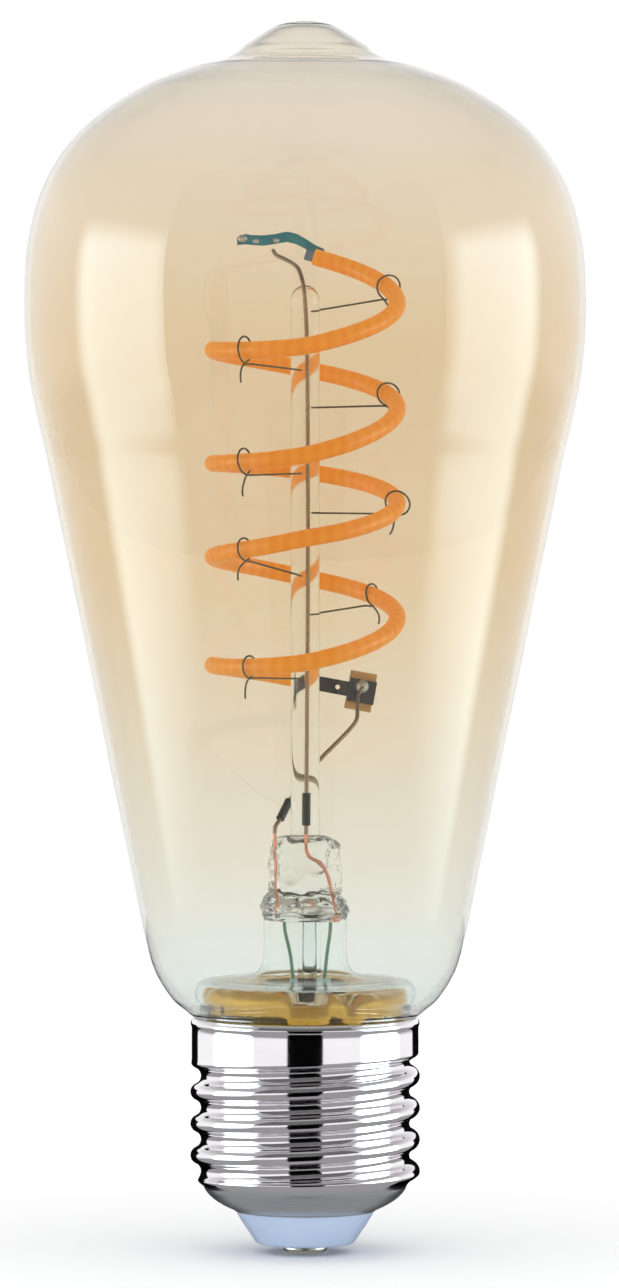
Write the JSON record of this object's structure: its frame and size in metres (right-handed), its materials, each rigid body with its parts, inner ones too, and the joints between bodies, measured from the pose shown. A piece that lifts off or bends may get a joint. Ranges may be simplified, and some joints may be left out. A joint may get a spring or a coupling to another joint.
{
  "type": "light bulb",
  "caption": "Pear-shaped amber glass LED filament bulb with a spiral flexible filament round a glass rod, on a bright screw cap with a wireless driver inside.",
  "frame": {"origin": "centre of the end contact's lower face", "axes": "+Z along the bulb's axis, from the end contact towards the glass crown; -Y faces the side that the filament's solder pads face"},
  "size_m": [0.064, 0.064, 0.1405],
  "materials": {
    "amber_glass": "thin blown glass with a pale amber inner coat that fades out towards the neck",
    "clear_glass": "clear drawn glass",
    "phosphor_silicone": "orange phosphor in soft silicone, satin",
    "strip_film": "polyimide strip",
    "led_chip": "sapphire chip",
    "teal_film": "blue-green solder mask",
    "solder": "bright solder",
    "black_film": "black solder mask",
    "tan_film": "tan polyimide film",
    "lead_wire": "oxidised nickel wire",
    "hook_wire": "thin dark molybdenum wire",
    "black_sleeve": "black sleeve",
    "copper_wire": "borated copper-clad seal wire",
    "tinned_wire": "tinned copper wire",
    "pale_sleeve": "pale translucent sleeve",
    "amber_film": "glossy amber polyimide film",
    "bright_nickel": "bright nickel plate",
    "pale_insulator": "pale blue moulded insulator, satin",
    "contact_nickel": "nickel plated brass",
    "cement": "baked base cement",
    "board_green": "glass-fibre board with green mask",
    "board_blue": "glass-fibre board with blue mask",
    "black_epoxy": "moulded epoxy package",
    "capacitor_can": "sleeved aluminium can",
    "green_epoxy": "dipped epoxy",
    "ferrite": "ferrite",
    "enamel_copper": "enamelled copper winding",
    "resistor_body": "lacquered ceramic body",
    "chip_part": "chip component",
    "shield_steel": "tinned steel",
    "gold_trace": "gold plated copper",
    "red_wire": "red wire covering",
    "white_wire": "white wire covering"
  },
  "bodies": {
    "root": {"base_cement": "cement", "bottom_solder": "solder", "bottom_terminal": "black_film", "bottom_terminal_film": "tan_film", "bottom_terminal_pad": "black_film", "bridge_rectifier": "black_epoxy", "cap_insulator": "pale_insulator", "cap_shell": "bright_nickel", "choke_core": "ferrite", "choke_winding": "enamel_copper", "driver_board": "board_green", "driver_chip": "black_epoxy", "driver_insulation": "amber_film", "end_contact": "contact_nickel", "exhaust_tube": "clear_glass", "filament_chips": "led_chip", "filament_jacket": "phosphor_silicone", "filament_strip": "strip_film", "film_capacitor": "green_epoxy", "filter_capacitor": "capacitor_can", "fuse_resistor": "resistor_body", "glass_envelope": "amber_glass", "live_wire": "red_wire", "lower_lead_sleeve": "black_sleeve", "lower_lead_wire": "lead_wire", "neutral_wire": "white_wire", "outer_lead_left": "tinned_wire", "outer_lead_right": "tinned_wire", "outer_lead_sleeve_left": "pale_sleeve", "outer_lead_sleeve_right": "pale_sleeve", "seal_wire_left": "copper_wire", "seal_wire_right": "copper_wire", "stem_flare": "clear_glass", "stem_pinch": "clear_glass", "support_hook_left_1": "hook_wire", "support_hook_left_2": "hook_wire", "support_hook_left_3": "hook_wire", "support_hook_left_4": "hook_wire", "support_hook_right_1": "hook_wire", "support_hook_right_2": "hook_wire", "support_hook_right_3": "hook_wire", "support_hook_right_4": "hook_wire", "support_rod": "clear_glass", "surface_parts": "chip_part", "top_terminal": "teal_film", "top_terminal_pads": "solder", "upper_lead_sleeve": "black_sleeve", "upper_lead_wire": "lead_wire", "wireless_antenna": "gold_trace", "wireless_board": "board_blue", "wireless_pins": "gold_trace", "wireless_shield": "shield_steel"}
  },
  "joints": []
}
